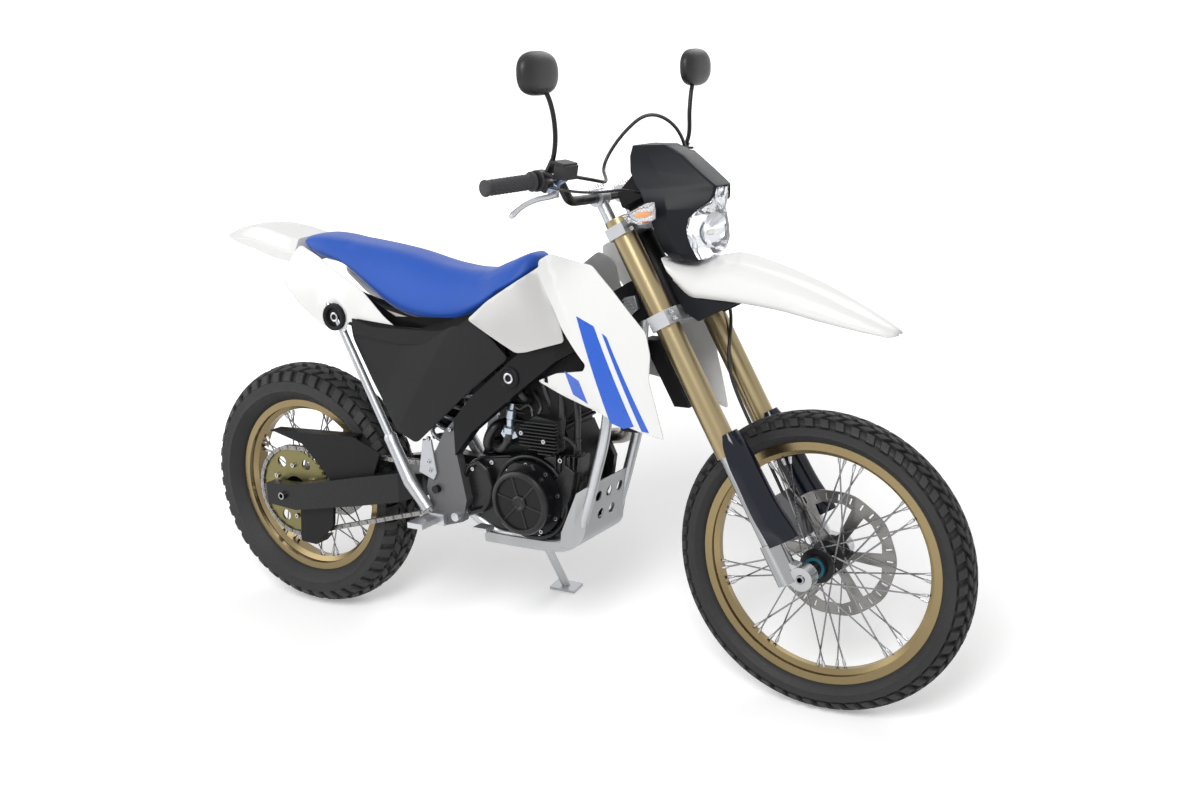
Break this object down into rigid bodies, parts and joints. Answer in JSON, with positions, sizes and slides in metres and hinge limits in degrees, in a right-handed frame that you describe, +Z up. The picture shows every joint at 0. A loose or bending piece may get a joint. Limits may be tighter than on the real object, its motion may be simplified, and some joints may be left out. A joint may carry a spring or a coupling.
{
  "type": "dual sport motorcycle",
  "caption": "Dual sport motorcycle with spoked wheels, block tread tyres, long travel fork, high front mudguard, long flat seat and chain drive, leaning on its side stand.",
  "frame": {"origin": "middle of the outline in plan, on the ground that both tyres and the side stand's foot touch", "axes": "+X forward from tail to front wheel, +Y to the rider's left, +Z up; the machine leans about X by 10 degrees towards +Y onto its side stand"},
  "size_m": [2.1882, 0.9146, 1.5203],
  "materials": {
    "tyre_rubber": "matt block tread",
    "gold_rim": "gold anodised",
    "spoke_steel": "bright wire",
    "black_alloy": "satin black",
    "black_frame": "satin black",
    "silver_alloy": "silver painted",
    "grey_casting": "grey cast",
    "disc_steel": "ground",
    "chain_steel": "oiled",
    "sprocket_alloy": "olive gold anodised",
    "engine_black": "satin black",
    "gold_fork": "gold anodised",
    "fork_steel": "hard chrome and silver castings",
    "black_plastic": "grained",
    "gloss_black": "gloss blue black",
    "white_plastic": "gloss white",
    "seat_blue": "matt blue vinyl",
    "grip_rubber": "patterned",
    "clear_lens": "clear",
    "steel_pipe": "brushed",
    "mirror_black": "matt"
  },
  "bodies": {
    "chassis": {"drive_chain": "chain_steel", "rear_axle": "spoke_steel", "swingarm": "black_frame", "pivot_shaft": "spoke_steel", "rear_shock": "silver_alloy", "main_frame": "black_frame", "pivot_castings": "grey_casting", "rear_subframe": "black_frame", "frame_stays": "silver_alloy", "engine_cradle": "silver_alloy", "crankcase": "engine_black", "cylinder": "engine_black", "engine_covers": "engine_black", "sprocket_cover": "engine_black", "drive_sprocket": "chain_steel", "rectifier": "black_alloy", "bash_plate": "silver_alloy", "chain_guards": "black_plastic", "footpegs": "spoke_steel", "foot_controls": "silver_alloy", "radiators": "black_alloy", "exhaust": "steel_pipe", "rear_caliper": "black_alloy", "seat": "seat_blue", "tank": "black_plastic", "tail_unit": "white_plastic", "tail_side_covers": "white_plastic", "side_panels": "black_plastic", "flank_covers": "white_plastic", "shrouds": "white_plastic", "stand_pin": "spoke_steel"},
    "steering": {"triple_clamps": "silver_alloy", "fork_sliders": "gold_fork", "fork_legs": "fork_steel", "front_axle": "spoke_steel", "fork_guards": "gloss_black", "handlebar": "black_alloy", "grips": "grip_rubber", "headlight_cowl": "black_plastic", "headlight_lens": "clear_lens", "front_fender": "white_plastic", "fender_bracket": "black_plastic", "instrument_cluster": "black_plastic", "front_indicators": "clear_lens", "controls": "silver_alloy", "mirrors": "mirror_black", "front_caliper": "black_alloy"},
    "front_wheel": {"front_tyre": "tyre_rubber", "front_rim": "gold_rim", "front_hub": "black_alloy", "front_spokes": "spoke_steel", "front_disc": "disc_steel"},
    "rear_wheel": {"rear_tyre": "tyre_rubber", "rear_rim": "gold_rim", "rear_hub": "black_alloy", "rear_spokes": "spoke_steel", "rear_disc": "disc_steel", "rear_sprocket": "sprocket_alloy"},
    "side_stand": {"side_stand": "black_frame"}
  },
  "joints": [
    {"name": "steering_head", "type": "hinge", "parent": "chassis", "child": "steering", "pos_m": [0.69571, -0.15393, 0.31674], "axis": [-0.467, 0.1535, 0.8708], "range_deg": [-42, 42]},
    {"name": "front_wheel_spin", "type": "hinge", "parent": "steering", "child": "front_wheel", "pos_m": [0.747, -0.14922, 0.34342], "axis": [0, 0.9848, -0.1736], "continuous": true},
    {"name": "rear_wheel_spin", "type": "hinge", "parent": "chassis", "child": "rear_wheel", "pos_m": [-0.753, -0.15046, 0.33643], "axis": [0, 0.9848, -0.1736], "continuous": true},
    {"name": "side_stand_fold", "type": "hinge", "parent": "chassis", "child": "side_stand", "pos_m": [-0.161, -0.004, 0.29171], "axis": [0.01, 0.9773, 0.2114], "range_deg": [0, 91]}
  ]
}
